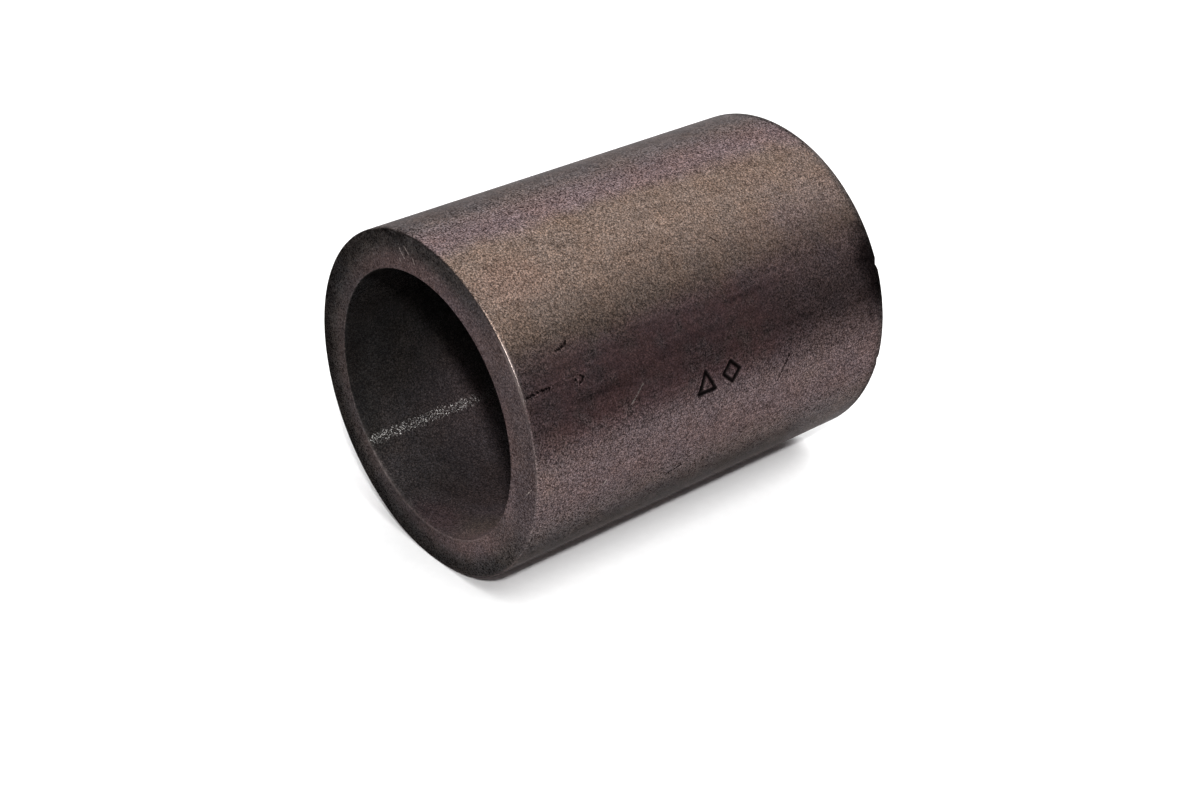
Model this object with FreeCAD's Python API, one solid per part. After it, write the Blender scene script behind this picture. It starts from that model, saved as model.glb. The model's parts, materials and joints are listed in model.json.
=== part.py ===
import FreeCAD, Part
import os

# Plain sintered-bronze sleeve bushing, one solid piece, in millimetres.
# The origin is on the bore axis, half way along the bore.
# The bore axis runs along +Y and +Z is up, so the sleeve lies on its side.

# Driving dimensions
bore_diameter = 28.0
outer_diameter = 36.0
sleeve_length = 46.0
bore_edge_break = 0.08
outer_edge_break = 0.10

# Worked out from them
bore_radius = bore_diameter / 2
outer_radius = outer_diameter / 2
half_length = sleeve_length / 2


def sleeve_section():
    """The wall's section in the XY plane: X is the radius, Y runs along the bore.

    Each of the four corners is cut back by its 45 degree edge break.
    """
    corners = [
        (outer_radius - outer_edge_break, -half_length),
        (outer_radius, -half_length + outer_edge_break),
        (outer_radius, half_length - outer_edge_break),
        (outer_radius - outer_edge_break, half_length),
        (bore_radius + bore_edge_break, half_length),
        (bore_radius, half_length - bore_edge_break),
        (bore_radius, -half_length + bore_edge_break),
        (bore_radius + bore_edge_break, -half_length),
    ]
    outline = [FreeCAD.Vector(radius, along, 0) for radius, along in corners]
    outline.append(outline[0])
    return Part.Face(Part.makePolygon(outline))


def bushing_sleeve():
    """The whole bushing: the wall's section turned once about the bore axis."""
    centre = FreeCAD.Vector(0, 0, 0)
    bore_axis = FreeCAD.Vector(0, 1, 0)
    return sleeve_section().revolve(centre, bore_axis, 360)


os.makedirs("parts", exist_ok=True)
bushing_sleeve().exportStep("parts/bushing_sleeve.step")
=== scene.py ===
import json
import math
from collections import namedtuple

import bpy
import numpy as np
from mathutils import Matrix, Vector, noise


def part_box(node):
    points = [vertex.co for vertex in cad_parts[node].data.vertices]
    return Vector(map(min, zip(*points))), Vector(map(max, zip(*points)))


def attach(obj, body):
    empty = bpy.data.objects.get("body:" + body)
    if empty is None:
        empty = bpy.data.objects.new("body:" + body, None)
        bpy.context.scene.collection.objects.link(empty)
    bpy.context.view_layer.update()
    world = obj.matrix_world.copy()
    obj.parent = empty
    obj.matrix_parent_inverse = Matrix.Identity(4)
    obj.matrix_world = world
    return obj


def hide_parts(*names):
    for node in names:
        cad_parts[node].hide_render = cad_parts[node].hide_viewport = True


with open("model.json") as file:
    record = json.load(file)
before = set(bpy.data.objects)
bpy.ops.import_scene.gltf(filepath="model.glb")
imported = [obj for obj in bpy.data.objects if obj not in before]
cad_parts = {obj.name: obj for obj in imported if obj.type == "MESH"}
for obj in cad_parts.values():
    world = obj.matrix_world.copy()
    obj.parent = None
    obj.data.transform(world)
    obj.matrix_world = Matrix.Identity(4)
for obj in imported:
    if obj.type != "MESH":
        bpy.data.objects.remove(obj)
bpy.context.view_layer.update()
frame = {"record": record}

# ---------------------------------------------------------------- sizes, in metres, from the frame
MM = 0.001
low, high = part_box("bushing_sleeve")
bore_mount = next(mount for mount in frame["record"]["mounts"] if mount["name"] == "bore")

outer_radius = (high.x - low.x) / 2
bore_radius = bore_mount["dims"]["r_mm"] * MM
half_length = (high.y - low.y) / 2
centre = (low + high) / 2

outer_edge_radius = 0.18 * MM
bore_edge_radius = 0.12 * MM
face_crown = 0.03 * MM
wall_waviness = 0.006 * MM

# ---------------------------------------------------------------- the punched inspection mark
mark_along = -0.2 * MM
mark_angle = math.radians(9.4)
mark_height = 2.1 * MM
mark_gap = 0.6 * MM
mark_margin = 0.45 * MM
stroke_half_width = 0.26 * MM
stroke_depth = 0.12 * MM
burr_height = 0.015 * MM


def mark_strokes():
    """Ends of the strokes of a hollow triangle and a hollow diamond: (along the bore, round the wall)."""
    half = mark_height / 2
    left, right = mark_along - mark_gap - half, mark_along + mark_gap + half
    triangle = [(left - half, -half), (left + half, -half), (left, half)]
    diamond = [(right - half, 0), (right, -half), (right + half, 0), (right, half)]
    strokes = []
    for corners in (triangle, diamond):
        strokes += list(zip(corners, corners[1:] + corners[:1]))
    return strokes


def distance_to_segment(u, v, start, end):
    """Distance of each point (u, v) from the segment between start and end."""
    along = np.array(end) - np.array(start)
    share = ((u - start[0]) * along[0] + (v - start[1]) * along[1]) / (along @ along)
    share = np.clip(share, 0, 1)
    return np.hypot(u - start[0] - share * along[0], v - start[1] - share * along[1])


def smooth(values, start, end):
    """0 before start and 1 after end, with a smooth rise between them."""
    share = np.clip((values - start) / (end - start), 0, 1)
    return share * share * (3 - 2 * share)


# ---------------------------------------------------------------- the sleeve's grid of vertices
# Spacing of the grid, in metres
wall_step = 0.6 * MM
wall_edge_step = 0.2 * MM
mark_step = 0.105 * MM
face_step = 0.26 * MM
face_edge_step = 0.16 * MM
bore_step = 0.82 * MM
ring_step = math.radians(0.98)
mark_ring_step = 0.095 * MM / outer_radius

# Widths of the finely spaced bands beside the rims, and the gaps next to the rounded corners
wall_edge_band = 1.2 * MM
face_edge_band = 1.0 * MM
far_corner_gap = 0.12 * MM
near_corner_gap = 0.2 * MM
bore_corner_gap = 0.4 * MM

Grid = namedtuple("Grid", "radius angle along")


def graded(*stretches):
    """Places along a line, from stretches of (start, end, step), each with its own even step."""
    places = []
    for start, end, step in stretches:
        count = max(1, round((end - start) / step))
        places += [start + (end - start) * i / count for i in range(count)]
    return places


def ring_angles():
    """Angles round the bore axis from +X towards +Z, closer together where the mark is."""
    half_angle = (mark_height / 2 + mark_margin) / outer_radius
    return graded(
        (mark_angle - math.pi, mark_angle - half_angle, ring_step),
        (mark_angle - half_angle, mark_angle + half_angle, mark_ring_step),
        (mark_angle + half_angle, mark_angle + math.pi, ring_step),
    )


def corner_arc(centre_radius, centre_along, size, start, count=5):
    """Points of a rounded corner, a quarter turn from the start angle in degrees, without the first one."""
    angles = [math.radians(start + 90 * i / count) for i in range(1, count + 1)]
    return [(centre_radius + size * math.cos(a), centre_along + size * math.sin(a)) for a in angles]


def outer_wall_points():
    """The section's line along the outer wall, from the near end to the far one."""
    end, corner = half_length, outer_edge_radius
    mark_reach = mark_gap + mark_height + mark_margin
    places = graded(
        (corner - end, wall_edge_band - end, wall_edge_step),
        (wall_edge_band - end, mark_along - mark_reach, wall_step),
        (mark_along - mark_reach, mark_along + mark_reach, mark_step),
        (mark_along + mark_reach, end - wall_edge_band, wall_step),
        (end - wall_edge_band, end - corner, wall_edge_step),
    )
    return [(outer_radius, place) for place in places + [end - corner]]


def far_face_points():
    """The section's line across the far face, from the outside to the bore."""
    start = outer_radius - outer_edge_radius
    width = start - bore_radius - bore_edge_radius
    insets = graded((far_corner_gap, face_edge_band, face_edge_step), (face_edge_band, width, face_step))
    points = [(start - inset, half_length) for inset in insets]
    return points + [(bore_radius + bore_edge_radius, half_length)]


def bore_points():
    """The section's line along the bore, from the far end to the near one."""
    end = half_length - bore_edge_radius
    places = graded((bore_corner_gap - end, end - bore_corner_gap, bore_step))
    return [(bore_radius, place) for place in places[::-1] + [-end]]


def near_face_points():
    """The section's line across the near face, from the bore to the outside."""
    start = bore_radius + bore_edge_radius
    width = outer_radius - outer_edge_radius - start
    insets = graded((near_corner_gap, width - face_edge_band, face_step),
                    (width - face_edge_band, width, face_edge_step))
    points = [(start + inset, -half_length) for inset in insets]
    return points + [(outer_radius - outer_edge_radius, -half_length)]


def section_points():
    """The wall's section as a closed loop of (radius, place along the bore), with four rounded corners."""
    outer, outer_end = outer_radius - outer_edge_radius, half_length - outer_edge_radius
    bore, bore_end = bore_radius + bore_edge_radius, half_length - bore_edge_radius
    points = outer_wall_points()
    points += corner_arc(outer, outer_end, outer_edge_radius, 0)
    points += far_face_points()
    points += corner_arc(bore, bore_end, bore_edge_radius, 90)
    points += bore_points()
    points += corner_arc(bore, -bore_end, bore_edge_radius, 180)
    points += near_face_points()
    points += corner_arc(outer, -outer_end, outer_edge_radius, 270)[:-1]
    return points


def sleeve_grid():
    """Radius, angle and place along the bore of each vertex, in section points by ring angles."""
    section = np.array(section_points())
    angles = np.array(ring_angles())
    radius = np.repeat(section[:, 0:1], len(angles), axis=1)
    along = np.repeat(section[:, 1:2], len(angles), axis=1)
    angle = np.repeat(angles[None, :], len(section), axis=0)
    return Grid(radius, angle, along)


# ---------------------------------------------------------------- wear, and the relief of the mark
def noise_on(grid, cell, seed):
    """Smooth noise from -1 to 1 at each vertex, with features about one cell wide."""
    x = grid.radius * np.cos(grid.angle) / cell
    z = grid.radius * np.sin(grid.angle) / cell
    shift = Vector((seed * 17.3, seed * 5.1, seed * 9.7))
    places = zip(x.ravel(), (grid.along / cell).ravel(), z.ravel())
    return np.array([noise.noise(Vector(place) + shift) for place in places]).reshape(x.shape)


def angle_from(grid, degrees):
    """How far each vertex's angle is from the given one, in degrees from 0 to 180."""
    return np.abs(np.degrees(np.angle(np.exp(1j * (grid.angle - math.radians(degrees))))))


def sector(grid, middle, core, edge):
    """1 within core degrees of the middle angle, falling to 0 at edge degrees from it."""
    return 1 - smooth(angle_from(grid, middle), core, edge)


def rising(values, start_mm, end_mm):
    """0 before start and 1 after end, which are in millimetres."""
    return smooth(values, start_mm * MM, end_mm * MM)


def falling(values, start_mm, end_mm):
    """1 before start and 0 after end, which are in millimetres."""
    return 1 - rising(values, start_mm, end_mm)


# Chips along the outer rims: (end, angle in degrees, half its length round the rim, depth), the end -1 or 1
rim_chips = [
    (-1, 112, 1.3 * MM, 0.16 * MM),
    (-1, 99, 0.8 * MM, 0.20 * MM),
    (-1, 338, 0.35 * MM, 0.10 * MM),
    (-1, 294, 0.30 * MM, 0.07 * MM),
    (1, 24, 0.35 * MM, 0.16 * MM),
    (1, 349, 0.30 * MM, 0.14 * MM),
    (1, 150, 0.60 * MM, 0.12 * MM),
    (1, 236, 0.45 * MM, 0.15 * MM),
]


def near_rims(grid, rim_radius, reach):
    """1 on the two rims of that radius, fading away over about the reach."""
    distance = np.hypot(grid.radius - rim_radius, np.abs(grid.along) - half_length)
    return np.exp(-((distance / reach) ** 2))


def edge_wear(grid, ragged):
    """Depth that handling wore off the outer rims, in metres."""
    least, most = 0.008 * MM, 0.035 * MM
    broad = 0.5 + 0.5 * noise_on(grid, 4 * MM, seed=4)
    return near_rims(grid, outer_radius, 0.22 * MM) * (most * ragged * broad + least)


def bare_metal(grid, ragged, worn_depth):
    """How much clean metal and painted glint the rims show, from 0 to 1: a little on worn rims, more on the
    lower side of the bore's rims, worn and painted as a highlight, and a painted glint on the near outer
    rim where the front lamp's glint falls.
    """
    worn = 0.4 * rising(worn_depth, 0.004, 0.03)
    # Worn metal on the lower side of the bore's rims, partly a painted highlight
    rubbed_and_highlit = sector(grid, middle=262, core=32, edge=62) * (0.05 + 0.6 * ragged)
    # Painted glint: brighter metal on the near outer rim where the front lamp's glint falls
    painted_glint = 0.9 * sector(grid, middle=34.5, core=6, edge=13) * (grid.along < 0)
    bore_rim = rubbed_and_highlit * near_rims(grid, bore_radius, 0.16 * MM)
    outer_rim = painted_glint * near_rims(grid, outer_radius, 0.24 * MM)
    return np.maximum(worn, np.maximum(bore_rim, outer_rim))


def chipping(grid, ragged):
    """Depth chipped off the outer rims, in metres. A chip spreads over a few times its depth."""
    spread = 2.6
    depth = np.zeros_like(grid.radius)
    for end, degrees, half, deep in rim_chips:
        turn = np.angle(np.exp(1j * (grid.angle - math.radians(degrees))))
        round_rim = turn * outer_radius / half
        from_rim = np.hypot(grid.radius - outer_radius, grid.along - end * half_length) / (deep * spread)
        depth += deep * np.exp(-(round_rim ** 4) - from_rim ** 2) * (0.45 + 0.9 * ragged)
    return depth


def rim_wear(grid):
    """Depth worn or chipped off the outer rims, in metres, and how much clean metal and painted glint the
    rims show, from 0 to 1.
    """
    ragged = 0.5 + 0.5 * noise_on(grid, 0.45 * MM, seed=3)
    worn_depth = edge_wear(grid, ragged)
    return worn_depth + chipping(grid, ragged), bare_metal(grid, ragged, worn_depth)


def mark_relief(grid):
    """Depth of the punched mark at each vertex, in metres, and how dark with dirt it is, from 0 to 1."""
    on_wall = smooth(grid.radius, outer_radius - 0.05 * MM, outer_radius - 0.01 * MM)
    round_wall = np.angle(np.exp(1j * (grid.angle - mark_angle))) * outer_radius
    distance = np.full(grid.radius.shape, np.inf)
    for start, end in mark_strokes():
        distance = np.minimum(distance, distance_to_segment(grid.along, round_wall, start, end))
    half_widths = distance / stroke_half_width
    uneven = 0.8 + 0.35 * noise_on(grid, 0.35 * MM, seed=8)
    groove = 1 - smooth(half_widths, 0.35, 1)
    burr = smooth(half_widths, 0.8, 1.25) * (1 - smooth(half_widths, 1.25, 2))
    depth = (groove * stroke_depth * uneven - burr * burr_height) * on_wall
    dirt = (1 - smooth(half_widths, 0.55, 1.15)) * on_wall
    return depth, np.clip(dirt * (0.75 + 0.4 * uneven), 0, 1)


# ---------------------------------------------------------------- where painted shade and painted light fall, and where the metal is tinted
def layered(*darkenings):
    """How much several painted darkenings darken the metal together, from 0 for none to 1 for black."""
    light = 1
    for darkening in darkenings:
        light = light * (1 - darkening)
    return 1 - light


def painted_face_shade(grid):
    """Painted shade on the end faces: darker outwards and on the left, and only faint on the side at the
    right.
    """
    near_end = grid.along < 0
    unshaded_side = sector(grid, middle=12, core=25, edge=60)
    outward = np.where(near_end, 1 - unshaded_side, 0.8) * rising(grid.radius, 14.6, 17.3)
    left_side = np.where(near_end, sector(grid, middle=195, core=40, edge=110), 0.2)
    right_side = sector(grid, middle=5, core=32, edge=58) * rising(grid.radius, 14.3, 15.6)
    return layered(0.55 * outward, 0.34 * left_side, 0.15 * right_side)


def painted_bore_shade(grid):
    """Painted shade in the bore: dark at the upper left, a painted shadow of the near rim from the front
    lamp further in, and two lighter darkenings at the near end.
    """
    upper_left = sector(grid, middle=130, core=25, edge=95)
    # Painted shadow: how far past the near rim the front lamp lights the bore, the most at 224 degrees
    lamp_shadow_reach = 14.9 * MM * np.clip(np.cos(grid.angle - math.radians(224)), 0, 1)
    painted_lamp_shadow = rising(grid.along + half_length - lamp_shadow_reach, -0.8, 1.2)
    left_lip = sector(grid, middle=200, core=20, edge=32) * falling(grid.along, -22, -20)
    mouth = sector(grid, middle=222, core=22, edge=52) * falling(grid.along, -19, -9)
    return layered(0.70 * upper_left, 0.45 * painted_lamp_shadow, 0.35 * left_lip, 0.36 * mouth)


def wall_painted_shade(grid):
    """Painted shade on the outer wall: in a low band, in a faint one at the near end, and round the far
    rim.
    """
    low_band = sector(grid, middle=326, core=3, edge=13) * falling(grid.along, 8, 20)
    near_band = sector(grid, middle=35, core=3, edge=10) * falling(grid.along, -15, 0)
    far_rim = rising(grid.along, 21.7, 22.8)
    return 0.22 * low_band + 0.16 * near_band + 0.35 * far_rim


def painted_light(grid, in_bore, on_face):
    """Where painted light brightens the metal: the bore's floor, the lower side of the end faces, and the
    far part of the wall.
    """
    on_wall = (1 - in_bore) * (1 - on_face)
    bore_floor = in_bore * (0.04 + sector(grid, middle=318, core=18, edge=58))
    lower_face = on_face * sector(grid, middle=312, core=12, edge=48)
    far_wall = on_wall * sector(grid, middle=41, core=7, edge=17) * rising(grid.along, 0, 16)
    return bore_floor + 0.2 * lower_face + 0.17 * far_wall


def surface_zones(grid):
    """How far each vertex belongs to each zone that the material knows, from 0 to 1."""
    in_bore = 1 - smooth(grid.radius, bore_radius, bore_radius + bore_edge_radius)
    on_face = smooth(np.abs(grid.along), half_length - 0.06 * MM, half_length - 0.01 * MM)
    outside_painted_shade = np.maximum(on_face * painted_face_shade(grid), wall_painted_shade(grid))
    # Painted reflection: grey where the top strip reflects at grazing angles and the low band reflects the
    # floor
    top_reflection = sector(grid, middle=112, core=12, edge=30)
    low_reflection = sector(grid, middle=322, core=8, edge=30)
    red_length = falling(np.abs(grid.along + 6 * MM), 10, 22)
    return {
        "in_bore": in_bore,
        "on_face": on_face,
        "painted_shade": np.where(in_bore > 0, in_bore * painted_bore_shade(grid), outside_painted_shade),
        # Painted light on the bore's floor, the lower side of the end faces and the far part of the wall
        "worn": painted_light(grid, in_bore, on_face),
        "burnish": in_bore * sector(grid, middle=220.5, core=0.3, edge=4.4) * falling(grid.along, 0, 6),
        # Painted highlight: the wall's highlight band, fading towards the far end
        "painted_highlight_zone": sector(grid, middle=57, core=12, edge=28) * (1 - 0.35 * rising(grid.along, -10, 22)),
        "red_zone": sector(grid, middle=22, core=8, edge=20) * red_length,
        "painted_reflection_zone": np.maximum(top_reflection, low_reflection),
    }


# ---------------------------------------------------------------- the sleeve's mesh
def shaped_points(grid, rim_depth, mark_depth):
    """Where each vertex ends up once the faces are crowned, the rims worn, and the mark punched."""
    crown = smooth(grid.radius, bore_radius + 0.8 * MM, outer_radius) * face_crown
    towards_end = np.sign(grid.along) * smooth(np.abs(grid.along), half_length * 0.9, half_length)
    along = grid.along - crown * towards_end

    # Rim wear cuts in at 45 degrees, and the mark goes straight in
    diagonal_share = 0.7
    cut = rim_depth * diagonal_share
    middle_of_wall = (outer_radius + bore_radius) / 2
    into_wall = np.where(grid.radius > middle_of_wall, -1.0, 1.0)
    along = along - np.sign(grid.along) * cut
    radius = grid.radius + into_wall * cut - mark_depth
    radius += noise_on(grid, 7 * MM, seed=11) * wall_waviness

    x, z = radius * np.cos(grid.angle), radius * np.sin(grid.angle)
    return np.stack([x + centre.x, along + centre.y, z + centre.z], axis=-1).reshape(-1, 3)


def grid_quads(rows, columns):
    """Faces of a grid that closes on itself both ways."""
    here = np.arange(rows * columns).reshape(rows, columns)
    ahead = np.roll(here, -1, axis=0)
    corners = [here, ahead, np.roll(ahead, -1, axis=1), np.roll(here, -1, axis=1)]
    return np.stack(corners, axis=-1).reshape(-1, 4)


def sleeve_mesh():
    """The sleeve as one closed grid mesh, with an attribute for each zone, its worn rims and painted glint,
    and its mark.
    """
    grid = sleeve_grid()
    rim_depth, bare = rim_wear(grid)
    mark_depth, dark = mark_relief(grid)
    mesh = bpy.data.meshes.new("sintered_sleeve")
    points = shaped_points(grid, rim_depth, mark_depth)
    mesh.from_pydata(points.tolist(), [], grid_quads(*grid.radius.shape).tolist())
    mesh.update()
    zones = surface_zones(grid)
    zones.update(bare=bare, dark=dark)
    for name, values in zones.items():
        attribute = mesh.attributes.new(name, "FLOAT", "POINT")
        attribute.data.foreach_set("value", values.astype(np.float32).ravel())
    mesh.shade_smooth()
    return mesh


# ---------------------------------------------------------------- short calls for building materials
class Nodes:
    """Adds and joins the nodes of one material."""

    def __init__(self, name):
        self.material = bpy.data.materials.new(name)
        self.material.use_nodes = True
        self.tree = self.material.node_tree
        self.tree.nodes.clear()

    def put(self, value, socket):
        """Links an output to a socket, or sets a plain value on it."""
        if isinstance(value, bpy.types.NodeSocket):
            self.tree.links.new(value, socket)
        else:
            socket.default_value = value

    def add(self, kind, inputs=None, **settings):
        node = self.tree.nodes.new(kind)
        for name, value in settings.items():
            setattr(node, name, value)
        for name, value in (inputs or {}).items():
            self.put(value, node.inputs[name])
        return node

    def maths(self, operation, first, second, clamp=False):
        node = self.add("ShaderNodeMath", {0: first, 1: second}, operation=operation, use_clamp=clamp)
        return node.outputs[0]

    def product(self, first, *others):
        for value in others:
            first = self.maths("MULTIPLY", first, value)
        return first

    def total(self, first, *others):
        for value in others:
            first = self.maths("ADD", first, value)
        return first

    def strongest(self, first, *others):
        for value in others:
            first = self.maths("MAXIMUM", first, value)
        return first

    def less(self, share):
        """What is left of 1 after taking a share away."""
        return self.maths("SUBTRACT", 1.0, share)

    def vector(self, operation, first, second=(0, 0, 0), output="Vector"):
        node = self.add("ShaderNodeVectorMath", {0: first, 1: second}, operation=operation)
        return node.outputs[output]

    def between(self, value, low_in, high_in, low_out=0.0, high_out=1.0):
        """Maps value from one range to another, with smooth ends and no overshoot."""
        inputs = {"Value": value, "From Min": low_in, "From Max": high_in,
                  "To Min": low_out, "To Max": high_out}
        return self.add("ShaderNodeMapRange", inputs, interpolation_type="SMOOTHSTEP").outputs["Result"]

    def tint(self, share, first, second):
        """A colour between two others."""
        node = self.add("ShaderNodeMix", data_type="RGBA")
        self.put(share, node.inputs[0])
        self.put(first, node.inputs[6])
        self.put(second, node.inputs[7])
        return node.outputs[2]

    def number(self, share, first, second):
        """A number between two others."""
        return self.add("ShaderNodeMix", {0: share, 2: first, 3: second}, data_type="FLOAT").outputs[0]

    def noise(self, position, scale, detail=2.0, roughness=0.5):
        inputs = {"Vector": position, "Scale": scale, "Detail": detail, "Roughness": roughness}
        return self.add("ShaderNodeTexNoise", inputs).outputs["Fac"]

    def cells(self, position, scale, output):
        """Packed grains: each one's own random Color, or the Distance from its middle."""
        inputs = {"Vector": position, "Scale": scale}
        return self.add("ShaderNodeTexVoronoi", inputs, feature="F1").outputs[output]

    def attribute(self, name):
        return self.add("ShaderNodeAttribute", attribute_name=name).outputs["Fac"]

    def principled(self, inputs):
        """Ends the material in a shader with those inputs, and gives the shader back."""
        shader = self.add("ShaderNodeBsdfPrincipled", inputs)
        self.add("ShaderNodeOutputMaterial", {"Surface": shader.outputs[0]})
        return shader


# ---------------------------------------------------------------- scratches and stains on the sleeve
# Scratches on the outer wall: two ends as (degrees, millimetres along), and half the width in millimetres
dark_lines = [
    ((36.0, -17.9), (36.3, -17.1), 0.13),
    ((36.5, -17.1), (37.1, -16.6), 0.16),
    ((26.8, -17.0), (24.3, -16.6), 0.15),
    ((24.3, -16.6), (25.9, -15.9), 0.12),
    ((27.0, -16.3), (26.2, -16.1), 0.10),
    ((26.0, -22.8), (26.6, -21.2), 0.13),
    ((26.7, -20.9), (26.4, -19.8), 0.12),
    ((-1.0, 7.6), (2.8, 8.4), 0.075),
    ((2.4, 8.3), (6.6, 9.2), 0.12),
    ((52.0, 4.0), (49.5, 4.6), 0.06),
    ((-21.0, -6.0), (-19.5, -4.2), 0.07),
]
light_lines = [
    ((12.4, -11.2), (16.8, -9.6), 0.065),
    ((-13.0, -15.0), (-10.5, -14.4), 0.04),
]

# Fine scratches on the near end face: two ends as (degrees, radius in millimetres)
face_lines = [
    ((97.0, 15.4), (99.5, 16.3), 0.035),
    ((94.0, 16.0), (96.5, 16.7), 0.03),
    ((91.0, 15.3), (92.0, 15.9), 0.03),
    ((99.5, 14.9), (100.5, 15.3), 0.03),
    ((352.0, 16.4), (356.0, 17.2), 0.03),
]

# Long soft smudges on the outer wall: the middle as (degrees, millimetres along), and the half sizes along
# and round the wall in millimetres
smudges = [
    ((33.5, -19.0), 4.0, 0.35),
    ((26.5, -20.5), 3.2, 0.45),
    ((30.5, -11.5), 4.5, 0.30),
    ((19.5, -14.0), 5.5, 0.30),
    ((31.0, 5.0), 6.0, 0.35),
    ((17.0, 10.0), 5.0, 0.35),
]


def on_flat_wall(degrees, along_mm):
    """A point of the outer wall laid flat, in millimetres: along the bore, then round the wall."""
    return Vector((along_mm, math.radians(degrees) * outer_radius / MM, 0))


def on_near_face(degrees, radius_mm):
    """A point of the near end face, in millimetres."""
    angle = math.radians(degrees)
    return Vector((radius_mm * math.cos(angle), -half_length / MM, radius_mm * math.sin(angle)))


def on_bore_wall(degrees, along_mm):
    """A point of the bore's wall, in millimetres."""
    angle, radius = math.radians(degrees), bore_radius / MM
    return Vector((radius * math.cos(angle), along_mm, radius * math.sin(angle)))


def line_mask(n, place, start, end, half_width, ragged):
    """1 on a thin line between two points and 0 away from it, broken up by the ragged noise."""
    along = end - start
    offset = n.vector("SUBTRACT", place, tuple(start))
    share = n.vector("DOT_PRODUCT", offset, tuple(along / along.length_squared), "Value")
    share = n.maths("ADD", share, 0.0, clamp=True)
    nearest = n.add("ShaderNodeVectorMath", {0: tuple(along), "Scale": share}, operation="SCALE").outputs[0]
    distance = n.vector("DISTANCE", offset, nearest, "Value")
    wander_reach = half_width * 6.5
    wander = n.product(n.maths("SUBTRACT", ragged, 0.5), wander_reach)
    return n.between(n.total(distance, wander), half_width * 0.5, half_width * 1.5, 1.0, 0.0)


def patch_mask(n, place, middle, reach, ragged):
    """1 in the middle of an oval patch and 0 outside it, with a ragged edge. Reach is its half sizes."""
    raggedness, solid_within, gone_beyond = 0.9, 0.75, 1.6
    offset = n.vector("DIVIDE", n.vector("SUBTRACT", place, tuple(middle)), reach)
    distance = n.vector("LENGTH", offset, output="Value")
    distance = n.total(distance, n.product(ragged, raggedness))
    return n.between(distance, solid_within, gone_beyond, 1.0, 0.0)


# ---------------------------------------------------------------- the sleeve's material
# Colours, as linear red, green, blue and 1
plum_bronze = (0.110, 0.082, 0.083, 1)
# Tan tint of the painted highlight band on the outer wall
highlight_tan_bronze = (0.113, 0.084, 0.070, 1)
ruddy_bronze = (0.112, 0.069, 0.071, 1)
# Grey tint of the painted reflections on the wall's top strip and low band
reflection_grey_bronze = (0.103, 0.088, 0.0865, 1)
face_bronze = (0.084, 0.064, 0.065, 1)
bore_bronze = (0.100, 0.081, 0.084, 1)
# Colour of the painted light on the bore's floor, the end faces and the wall
painted_light_bronze = (0.112, 0.084, 0.084, 1)
# Colour of the painted shade in the bore, on the end faces and on the outer wall
painted_shade_bronze = (0.076, 0.070, 0.0695, 1)
wine_bronze = (0.118, 0.076, 0.080, 1)
olive_bronze = (0.105, 0.090, 0.074, 1)
orange_bronze = (0.125, 0.083, 0.067, 1)
scratched_bronze = (0.34, 0.29, 0.27, 1)
# Brighter metal of worn rims, also painting the glint on the near outer rim and the highlight on the bore's
# rims
bare_bronze = (0.20, 0.165, 0.155, 1)
burnished_bronze = (0.098, 0.096, 0.092, 1)
mark_dirt = (0.010, 0.008, 0.008, 1)
unchanged = (1, 1, 1, 1)

# Features in each millimetre
grains = 10.0
grits = 4.2
pores = 1.7
ridges = 13.0
fine_mottles = 12.0


class SleeveSurface:
    """What the parts of the sleeve's material share: where a point is, its zones, and a few noises."""

    def __init__(self, n):
        metres = n.add("ShaderNodeTexCoord").outputs["Object"]
        self.position = n.vector("MULTIPLY", metres, (1 / MM, 1 / MM, 1 / MM))
        parts = n.add("ShaderNodeSeparateXYZ", {0: self.position})
        self.along = parts.outputs["Y"]
        angle = n.maths("ARCTAN2", parts.outputs["Z"], parts.outputs["X"])
        self.degrees = n.product(angle, math.degrees(1))
        round_wall = n.product(self.degrees, math.radians(1) * outer_radius / MM)
        self.flat_wall = n.add("ShaderNodeCombineXYZ", {0: self.along, 1: round_wall}).outputs[0]

        self.patchy = n.noise(self.position, scale=0.45, detail=3.0, roughness=0.6)
        self.ragged = n.noise(self.position, scale=5.0, detail=2.0, roughness=0.6)
        self.fine = n.noise(self.position, scale=fine_mottles, detail=2.0, roughness=0.6)
        self.grain = n.cells(self.position, grains, "Color")

        self.in_bore = n.attribute("in_bore")
        self.on_face = n.attribute("on_face")
        self.on_wall = n.maths("SUBTRACT", 1.0, n.strongest(self.in_bore, self.on_face), clamp=True)
        # Painted light, which brightens the colour and the tone
        self.worn = n.attribute("worn")
        broad = n.noise(self.position, scale=0.12, detail=3.0, roughness=0.55)
        # Painted highlight: where the tan tint of the highlight band goes, broken up by broad noise
        self.painted_highlight_zone = n.between(n.total(n.attribute("painted_highlight_zone"), n.product(broad, 1.2)), 0.6, 1.4)
        self.red_zone = n.product(n.attribute("red_zone"), n.between(self.patchy, 0.25, 0.6))


def wall_patch(n, surface, middle, half_long, half_wide):
    """1 on a ragged oval patch of the outer wall, with its half sizes along and round it in millimetres."""
    reach = (half_long, half_wide, 1)
    mask = patch_mask(n, surface.flat_wall, on_flat_wall(*middle), reach, surface.patchy)
    return n.product(mask, surface.on_wall)


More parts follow.
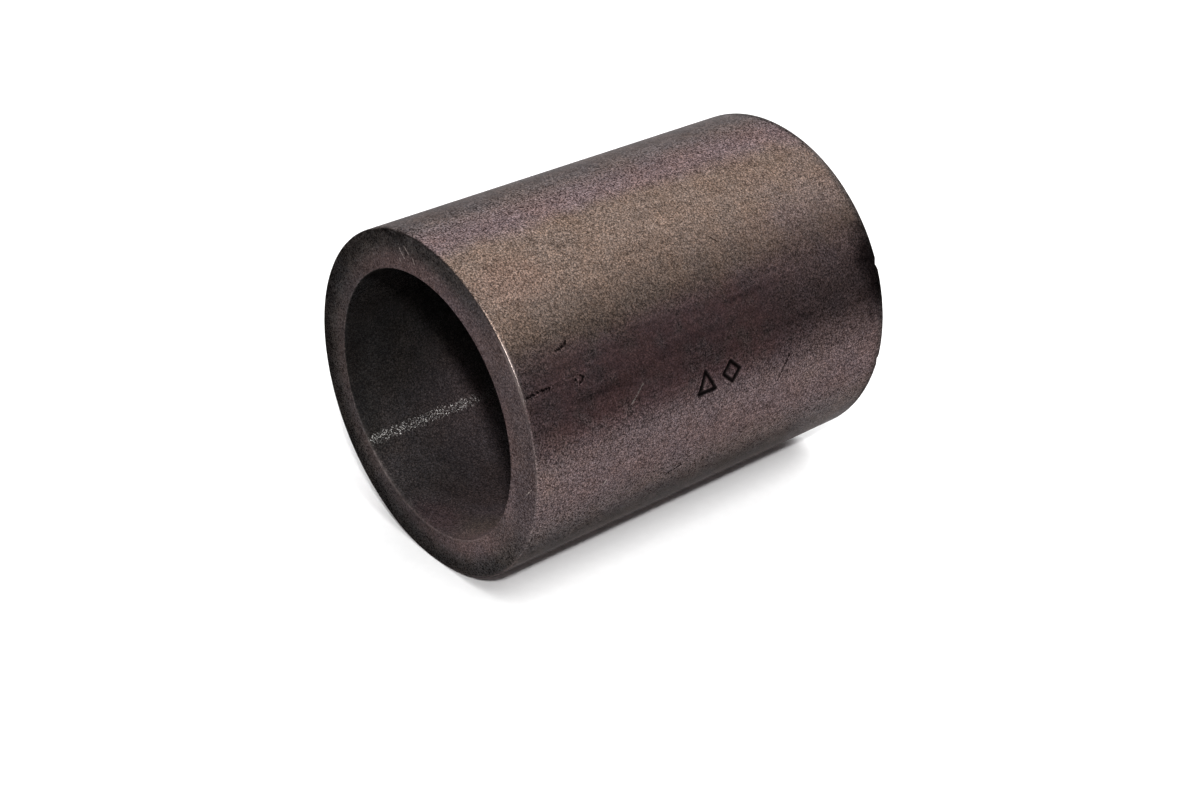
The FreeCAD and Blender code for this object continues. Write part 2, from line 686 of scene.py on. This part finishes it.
def zone_colours(n, surface):
    """The bronze's colour: plum and ruddy outside, tan as a painted highlight and grey as a painted
    reflection, and darker with painted shade.
    """
    # Painted highlight: tan where the highlight band falls on the wall, plum elsewhere
    colour = n.tint(surface.painted_highlight_zone, plum_bronze, highlight_tan_bronze)
    colour = n.tint(surface.red_zone, colour, ruddy_bronze)
    # Painted reflection: grey on the wall's top strip and low band
    colour = n.tint(n.attribute("painted_reflection_zone"), colour, reflection_grey_bronze)
    colour = n.tint(surface.on_face, colour, face_bronze)
    colour = n.tint(surface.in_bore, colour, bore_bronze)
    # Painted light brightens the colour
    colour = n.tint(surface.worn, colour, painted_light_bronze)
    # Painted shade darkens the colour
    colour = n.tint(n.between(n.attribute("painted_shade"), 0.0, 0.6), colour, painted_shade_bronze)
    elsewhere = n.vector("ADD", surface.position, (31, 7, 19))
    cloudy = n.noise(elsewhere, scale=0.22)
    cool, warm = (0.985, 1.002, 1.015, 1), (1.03, 0.997, 0.965, 1)
    return n.vector("MULTIPLY", colour, n.tint(n.between(cloudy, 0.34, 0.66), cool, warm))


def tinted_patches(n, surface, colour):
    """Adds a wine and an olive patch near the bore's mouth, and an orange one on the wall."""
    position, patchy = surface.position, surface.patchy
    wine = patch_mask(n, position, on_bore_wall(267, -21.7), (4.0, 2.6, 2.0), patchy)
    olive = patch_mask(n, position, on_bore_wall(288, -19.5), (3.5, 3.0, 3.0), patchy)
    orange = wall_patch(n, surface, (60, -18.5), 5.5, 3.2)
    colour = n.tint(n.product(wine, surface.in_bore, 0.5), colour, wine_bronze)
    colour = n.tint(n.product(olive, surface.in_bore, 0.4), colour, olive_bronze)
    return n.tint(n.product(orange, 0.6), colour, orange_bronze)


def powder_tone(n, surface, grain_parts):
    """How bright each point is from its powder: single grains, larger grits, and fine noise."""
    mostly_dark = n.maths("POWER", grain_parts.outputs[0], 1.6)
    grain = n.total(n.product(mostly_dark, 1.30), -0.50)
    grit = n.between(n.cells(surface.position, grits, "Distance"), 0.10, 0.62, 0.72, -0.20)
    speckle = n.total(grain, grit, n.between(surface.fine, 0.25, 0.75, -0.42, 0.42))
    contrast = n.product(n.between(surface.on_wall, 0.0, 1.0, 0.78, 1.08),
                         n.between(surface.red_zone, 0.0, 1.0, 1.0, 0.62),
                         n.between(surface.painted_highlight_zone, 0.0, 1.0, 1.0, 0.88))
    darkest = 0.15
    return n.strongest(n.total(1.0, n.product(speckle, contrast)), darkest)


def mottling(n, surface):
    """Gentle light and dark areas, a quarter of a millimetre to two millimetres wide, and pores."""
    small = n.between(n.noise(surface.position, scale=3.6), 0.2, 0.8, 0.95, 1.05)
    middling = n.between(n.noise(surface.position, scale=1.3), 0.2, 0.8, 0.91, 1.09)
    large = n.between(surface.patchy, 0.25, 0.75, 0.92, 1.08)
    pore = n.between(n.cells(surface.position, pores, "Distance"), 0.06, 0.12, 0.6, 1.0)
    return n.product(small, middling, large, pore)


def die_streaks(n, surface):
    """Faint light and dark streaks along the outer wall, left by its sizing die."""
    cells_per_mm, cells_per_degree = 0.10, 0.35
    stretched = {0: n.product(surface.along, cells_per_mm), 1: n.product(surface.degrees, cells_per_degree)}
    place = n.add("ShaderNodeCombineXYZ", stretched).outputs[0]
    streaks = n.between(n.noise(place, scale=1.0, detail=3.0, roughness=0.6), 0.3, 0.7, -1.0, 1.0)
    strength = n.between(surface.red_zone, 0.0, 0.6, 0.08, 0.15)
    return n.tint(surface.on_wall, unchanged, n.total(1.0, n.product(streaks, strength)))


def stains_smudges_and_painted_shade(n, surface):
    """How much painted shade, a stained patch on the near rim and smudges darken each point, from 0 to 1.
    """
    # Painted shade, made a little uneven
    painted_shade = n.product(n.attribute("painted_shade"), n.between(surface.patchy, 0.2, 0.8, 1.08, 0.92))
    # Painted shade: a dark patch where the dark band darkens towards the far rim
    far_painted_shade = wall_patch(n, surface, (23.0, 22.8), 3.6, 6.4)
    rim_place = on_near_face(106, 17.75)
    rim_stain = patch_mask(n, surface.position, rim_place, (3.0, 0.8, 0.55), surface.patchy)
    smudge = n.strongest(*[wall_patch(n, surface, *sizes) for sizes in smudges])
    stain_and_shade = n.strongest(far_painted_shade, rim_stain)
    return n.strongest(painted_shade, n.product(stain_and_shade, 0.8), n.product(smudge, 0.30))


def all_lines(n, place, to_point, lines, ragged):
    """1 on any of the lines, whose ends to_point turns into places."""
    return n.strongest(*[
        line_mask(n, place, to_point(*start), to_point(*end), half_width, ragged)
        for start, end, half_width in lines])


def scratches(n, surface):
    """Masks of the dark nicks on the wall, and of the light scratches on the wall and the near face."""
    ragged, flat_wall = surface.ragged, surface.flat_wall
    dark = n.product(all_lines(n, flat_wall, on_flat_wall, dark_lines, ragged), surface.on_wall)
    light = n.product(all_lines(n, flat_wall, on_flat_wall, light_lines, ragged), surface.on_wall)
    on_face = all_lines(n, surface.position, on_near_face, face_lines, ragged)
    return dark, n.strongest(light, on_face)


def burnished_crests(n, surface):
    """The tops of the fine ridges in the bore's burnished strip, fewer towards its sides."""
    strip = n.product(n.attribute("burnish"), n.between(surface.ragged, 0.35, 0.6, 0.4, 1.1))
    ridge_colour = n.cells(surface.position, ridges, "Color")
    ridge = n.add("ShaderNodeSeparateColor", {0: ridge_colour}).outputs[0]
    top_from, top_to = 1.05, 1.13
    return n.between(n.total(ridge, n.product(strip, 0.36)), top_from, top_to)


def bronze_colour(n, surface, dark_scratch, light_scratch, crest):
    """All the sleeve's colours and tones, one over the other."""
    grain_parts = n.add("ShaderNodeSeparateColor", {0: surface.grain})
    warm_grain, cool_grain = (1.05, 0.99, 0.94, 1), (0.96, 1.01, 1.05, 1)
    colour = tinted_patches(n, surface, zone_colours(n, surface))
    colour = n.vector("MULTIPLY", colour, n.tint(grain_parts.outputs[1], warm_grain, cool_grain))
    colour = n.vector("MULTIPLY", colour, die_streaks(n, surface))
    tone = n.product(
        powder_tone(n, surface, grain_parts),
        mottling(n, surface),
        n.less(stains_smudges_and_painted_shade(n, surface)),
        # Painted light brightens the tone
        n.total(1.0, n.product(surface.worn, 1.1)),
        n.less(n.product(dark_scratch, 0.88)),
    )
    shade = n.add("ShaderNodeCombineXYZ", {0: tone, 1: tone, 2: tone}).outputs[0]
    colour = n.vector("MULTIPLY", colour, shade)
    colour = n.tint(n.product(light_scratch, 0.8), colour, scratched_bronze)
    # Brighter metal on worn rims, and a painted glint and painted highlight on the near outer rim and the
    # bore's rims
    colour = n.tint(n.product(n.attribute("bare"), 0.9), colour, bare_bronze)
    colour = n.tint(n.attribute("dark"), colour, mark_dirt)
    return n.tint(n.product(crest, 0.8), colour, burnished_bronze)


def bronze_roughness(n, surface, crest):
    """Satin outside, dull in the bore, and smoother on the burnished crests and the bare rims."""
    roughness = n.total(n.product(surface.fine, 0.14), 0.37)
    for place, value in ((surface.in_bore, 0.74), (crest, 0.34), (n.attribute("bare"), 0.30)):
        roughness = n.number(place, roughness, value)
    return roughness


def bronze_normal(n, surface, dark_scratch, crest):
    """Turns each grain its own way, the crests towards the near end, and cuts the dark scratches in."""
    lean = n.vector("SUBTRACT", surface.grain, (0.5, 0.5, 0.5))
    grain_lean = n.vector("MULTIPLY", lean, (0.16, 0.16, 0.16))
    towards_near_end = (0, -0.58, 0)
    crest_lean = n.vector("ADD", n.vector("MULTIPLY", lean, (0.06, 0.70, 0.06)), towards_near_end)
    facing_out = n.add("ShaderNodeNewGeometry").outputs["Normal"]
    normal = n.vector("ADD", facing_out, n.tint(crest, grain_lean, crest_lean))
    grain_height, scratch_depth = 0.010, 0.03
    cut = n.product(dark_scratch, scratch_depth)
    relief = n.maths("SUBTRACT", n.product(surface.fine, grain_height), cut)
    bump = n.add("ShaderNodeBump", {
        "Strength": 1.0, "Distance": MM, "Height": relief, "Normal": n.vector("NORMALIZE", normal)})
    return bump.outputs[0]


def sintered_bronze():
    """Pressed bronze powder, dark with oil, with painted shade, light, highlights and reflections,
    scratches, worn rims and a burnished strip in the bore.
    """
    n = Nodes("sintered_bronze")
    surface = SleeveSurface(n)
    dark_scratch, light_scratch = scratches(n, surface)
    crest = burnished_crests(n, surface)
    shader = n.principled({
        "Base Color": bronze_colour(n, surface, dark_scratch, light_scratch, crest),
        "Metallic": 1.0,
        "Roughness": bronze_roughness(n, surface, crest),
        "Normal": bronze_normal(n, surface, dark_scratch, crest),
    })
    shader.inputs["Specular Tint"].default_value = (0.35, 0.35, 0.35, 1)
    return n.material


# ---------------------------------------------------------------- the stage
def fibrous_material(name, fibres_per_metre, darker, lighter, roughness):
    """Matt paper or felt, with a very faint unevenness between two greys."""
    n = Nodes(name)
    metres = n.add("ShaderNodeTexCoord").outputs["Object"]
    fibre = n.between(n.noise(metres, scale=fibres_per_metre, detail=3.0, roughness=0.6), 0.3, 0.7)
    colour = n.tint(fibre, (darker, darker, darker, 1), (lighter, lighter, lighter, 1))
    n.principled({"Base Color": colour, "Roughness": roughness})
    return n.material


def link(name, data):
    """Adds an object with that data to the scene."""
    piece = bpy.data.objects.new(name, data)
    bpy.context.scene.collection.objects.link(piece)
    return piece


def pale_floor():
    """A wide paper disc that the sleeve lies on."""
    reach, sides = 2.5, 96
    turns = [2 * math.pi * i / sides for i in range(sides)]
    rim = [(reach * math.cos(turn), reach * math.sin(turn), low.z) for turn in turns]
    mesh = bpy.data.meshes.new("pale_floor")
    mesh.from_pydata(rim, [], [list(range(sides))])
    mesh.materials.append(fibrous_material("pale_paper", 900.0, 0.91, 0.93, 0.9))
    link("pale_floor", mesh)


def dark_card():
    """A low black card standing to the right, seen only as the dark band reflected in the wall."""
    near_x, near_y, near_top = 87 * MM, -100 * MM, 38 * MM
    far_x, far_y, far_top = 45 * MM, 110 * MM, -4 * MM
    foot = [(near_x, near_y, low.z), (far_x, far_y, low.z)]
    top = [(far_x, far_y, far_top), (near_x, near_y, near_top)]
    mesh = bpy.data.meshes.new("dark_card")
    mesh.from_pydata(foot + top, [], [(0, 1, 2, 3)])
    mesh.materials.append(fibrous_material("black_felt", 600.0, 0.004, 0.007, 1.0))
    card = link("dark_card", mesh)
    card.visible_camera = False
    card.visible_shadow = False
    card.visible_diffuse = False


def soft_light(name, direction, distance, width, height, power):
    """A rectangular light at that distance in that direction, aimed at the sleeve."""
    data = bpy.data.lights.new(name, "AREA")
    data.shape = "RECTANGLE"
    data.size = width
    data.size_y = height
    data.energy = power
    lamp = link(name, data)
    place = centre + Vector(direction).normalized() * distance
    turn = (centre - place).to_track_quat("-Z", "Y").to_matrix().to_4x4()
    lamp.matrix_world = Matrix.Translation(place) @ turn
    lamp.visible_camera = False


def dim_room():
    """Faint even light from all round."""
    world = bpy.data.worlds.new("dim_room")
    bpy.context.scene.world = world
    world.use_nodes = True
    background = world.node_tree.nodes["Background"]
    background.inputs["Color"].default_value = (1.0, 0.98, 1.0, 1)
    background.inputs["Strength"].default_value = 0.135


def studio():
    """Soft light from above and behind, a small lamp above the camera, and a dim room."""
    soft_light("back_softbox", (-0.27, 0.56, 0.78), distance=0.42, width=0.60, height=0.42, power=1.95)
    soft_light("left_softbox", (-0.80, 0.56, 0.215), distance=0.42, width=0.30, height=0.20, power=0.38)
    soft_light("right_softbox", (0.55, -0.10, 0.83), distance=0.45, width=0.20, height=0.20, power=1.36)
    soft_light("top_softbox", (0.10, -0.45, 0.88), distance=0.45, width=0.20, height=0.20, power=0.30)
    soft_light("front_lamp", (0.635, -0.469, 0.613), distance=0.40, width=0.02, height=0.02, power=1.10)
    dim_room()
    bpy.context.scene.view_settings.view_transform = "Standard"


def camera():
    """Looks down on the near end and the side of the sleeve."""
    azimuth, elevation = math.radians(50.44), math.radians(30.32)
    distance, aside, above = 199.35 * MM, 0.48 * MM, 6.80 * MM
    right = Vector((math.cos(azimuth), math.sin(azimuth), 0))
    level_back = Vector((math.sin(azimuth), -math.cos(azimuth), 0))
    back = level_back * math.cos(elevation) + Vector((0, 0, math.sin(elevation)))
    up = back.cross(right)
    data = bpy.data.cameras.new("camera")
    data.lens = 57.29
    data.sensor_width = 36.0
    data.clip_start = 0.01
    data.clip_end = 20.0
    viewer = link("camera", data)
    place = centre + back * distance - right * aside - up * above
    turn = Matrix((right, up, back)).transposed().to_4x4()
    viewer.matrix_world = Matrix.Translation(place) @ turn
    bpy.context.scene.camera = viewer


# ---------------------------------------------------------------- putting it together
camera()
studio()
dark_card()
pale_floor()

sleeve = link("sintered_sleeve", sleeve_mesh())
sleeve.data.materials.append(sintered_bronze())
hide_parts("bushing_sleeve")
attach(sleeve, "root")
